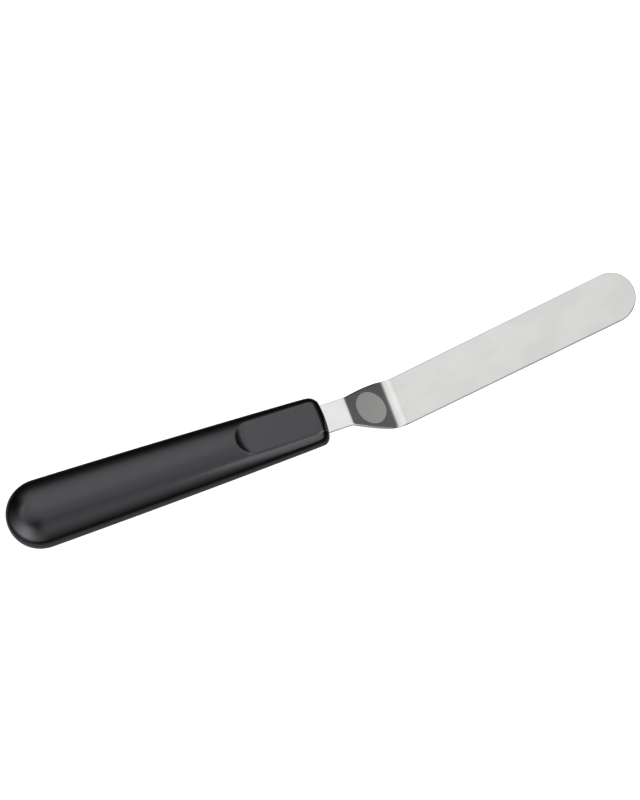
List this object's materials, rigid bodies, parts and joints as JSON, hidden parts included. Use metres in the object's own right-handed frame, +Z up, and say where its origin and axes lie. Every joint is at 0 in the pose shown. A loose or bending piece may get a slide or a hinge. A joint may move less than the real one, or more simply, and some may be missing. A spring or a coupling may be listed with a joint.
{
  "type": "offset spatula",
  "caption": "Small offset icing spatula: cranked round-tipped steel blade with its tang clamped in a smooth two-shell plastic handle with a finger pad.",
  "frame": {"origin": "centre of the bounding box in X and Y, on the surface the spatula lies on", "axes": "+X from the butt of the handle to the tip of the blade, +Y across, +Z up from the surface it lies on; Y = 0 is the mirror plane"},
  "size_m": [0.2286, 0.0246, 0.0372],
  "materials": {
    "stainless_steel": "satin spring steel with fine lengthwise grain and an etched oval patch on the slant",
    "black_plastic": "smooth satin black moulded plastic"
  },
  "bodies": {
    "root": {"blade": "stainless_steel", "handle_upper_shell": "black_plastic", "handle_lower_shell": "black_plastic"}
  },
  "joints": []
}
